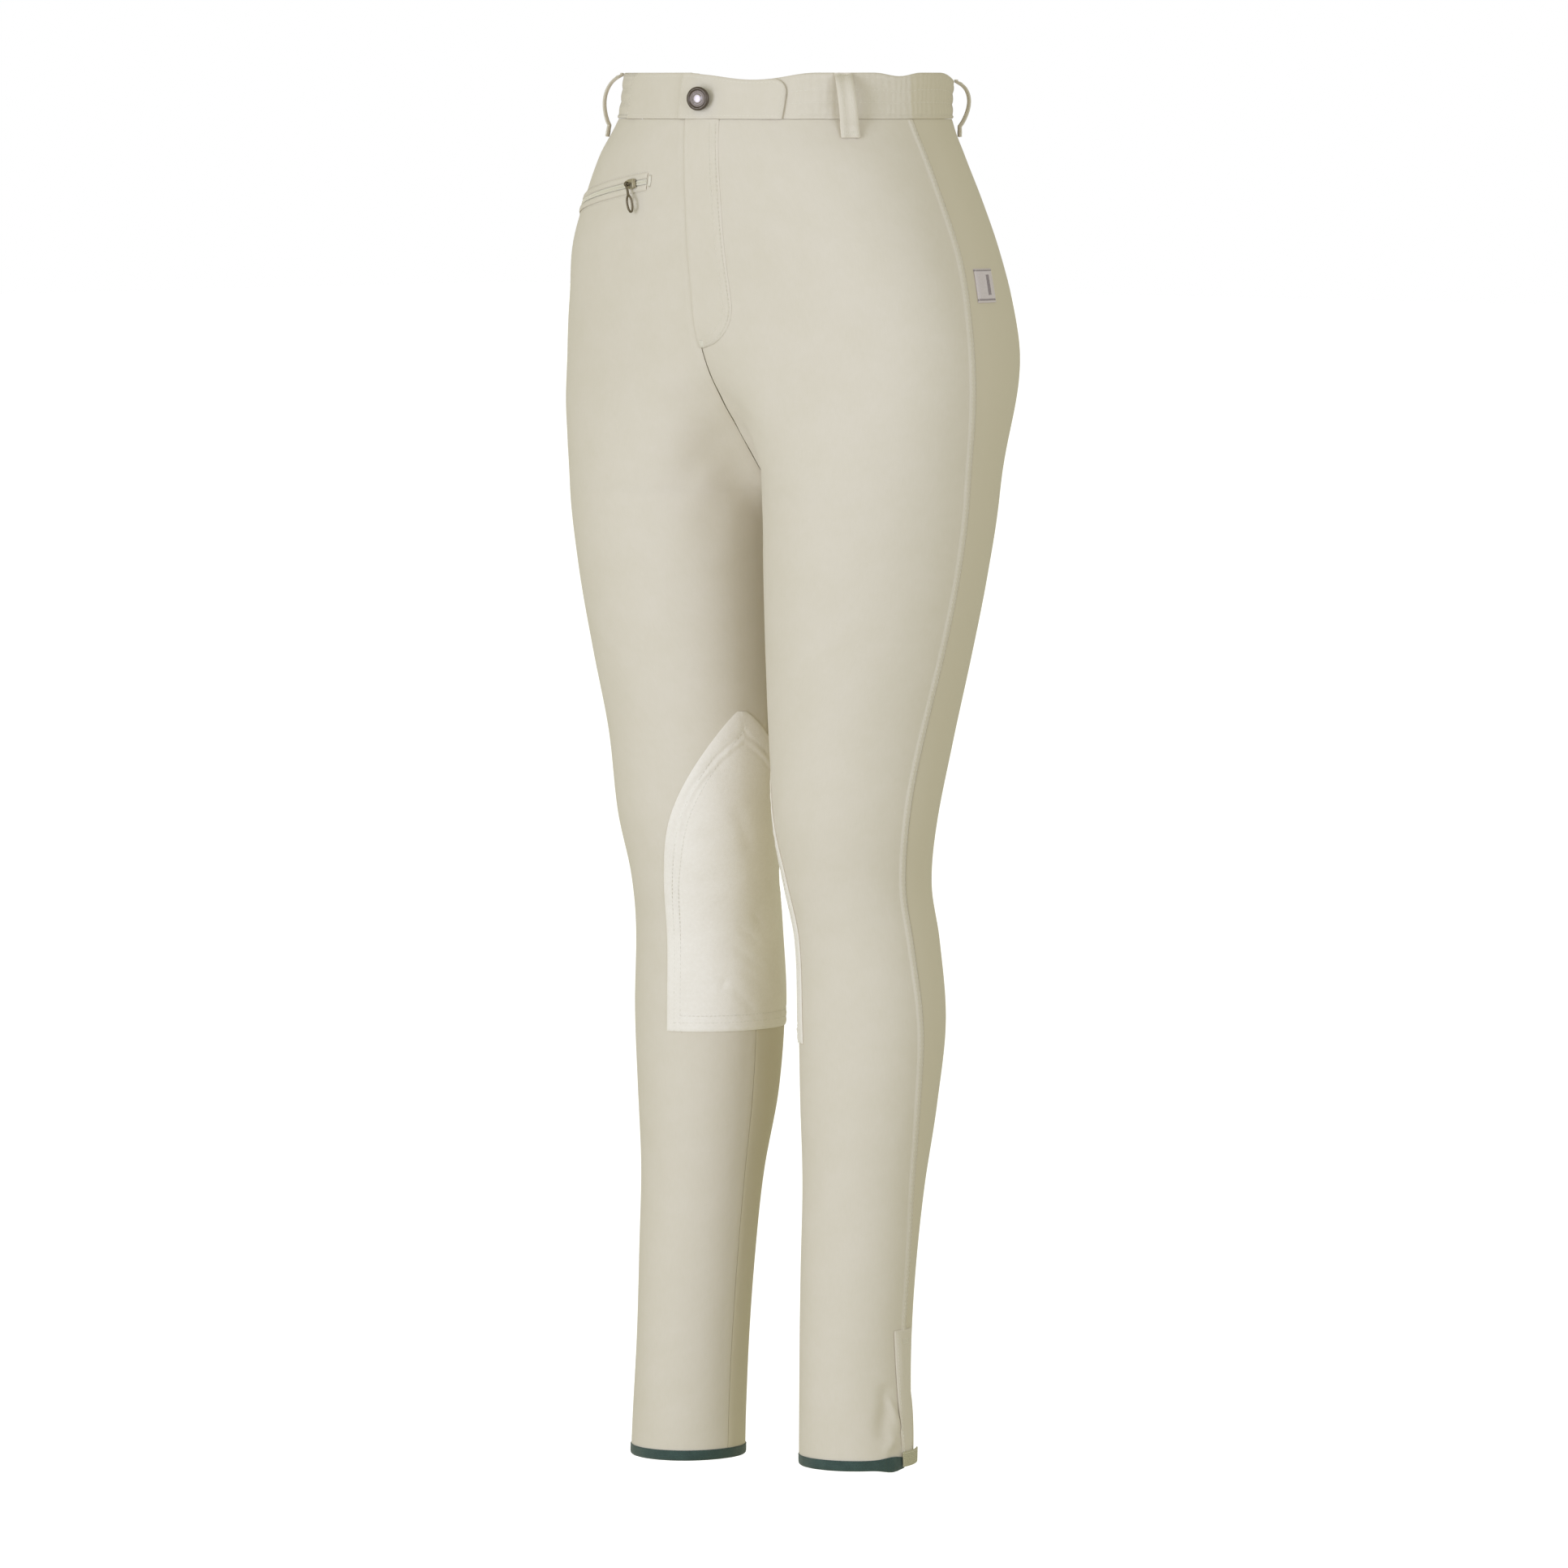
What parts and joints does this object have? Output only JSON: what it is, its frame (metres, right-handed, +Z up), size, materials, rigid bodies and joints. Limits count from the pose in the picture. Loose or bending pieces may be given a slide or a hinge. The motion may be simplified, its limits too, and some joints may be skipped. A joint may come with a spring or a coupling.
{
  "type": "riding breeches",
  "caption": "Women's riding breeches, filled out as worn: waistband with belt loops and button, lapped fly, zip pocket, suede knee patches, bound hems with grip-tape ankle openings.",
  "frame": {"origin": "middle of the waist's top edge, where the wearer's waist holds the breeches up", "axes": "+Z up along the legs, the fronts face -Y, +X is the wearer's left"},
  "size_m": [0.3796, 0.2458, 1.0189],
  "materials": {
    "breeches_cloth": "matt fine stretch twill, cream",
    "suede": "matt brushed synthetic suede, off-white",
    "binding": "smooth elastic binding, dark green",
    "dark_metal": "dark aged metal, satin",
    "gunmetal": "gunmetal, satin",
    "zip_tape": "woven zip tape with coil teeth, cream",
    "woven_label": "smooth woven label, pale lilac grey, plain",
    "grip_tape": "matt hook-and-loop tape, pale yellow"
  },
  "bodies": {
    "garment": {"front_left": "breeches_cloth", "back_left": "breeches_cloth", "front_right": "breeches_cloth", "back_right": "breeches_cloth", "waistband_front_left": "breeches_cloth", "waistband_front_right": "breeches_cloth", "waistband_elastic": "breeches_cloth", "fly_lap": "breeches_cloth", "belt_loop_front_left": "breeches_cloth", "belt_loop_front_right": "breeches_cloth", "belt_loop_back_left": "breeches_cloth", "belt_loop_back_right": "breeches_cloth", "belt_loop_centre_back": "breeches_cloth", "pocket_welt_upper": "breeches_cloth", "pocket_welt_lower": "breeches_cloth", "ankle_flap_left": "breeches_cloth", "ankle_flap_right": "breeches_cloth", "zip_tape": "zip_tape", "zip_slider": "dark_metal", "button": "gunmetal", "label": "woven_label", "knee_patch_left": "suede", "knee_patch_right": "suede", "hem_binding_left": "binding", "hem_binding_right": "binding", "grip_tab_left": "grip_tape", "grip_tab_right": "grip_tape"},
    "pull": {"zip_pull": "dark_metal"}
  },
  "joints": [
    {"name": "pull_swing", "type": "hinge", "parent": "garment", "child": "pull", "pos_m": [-0.057, -0.11223, -0.08007], "axis": [-0.9813, 0.1373, -0.1352], "range_deg": [0, 150]}
  ]
}
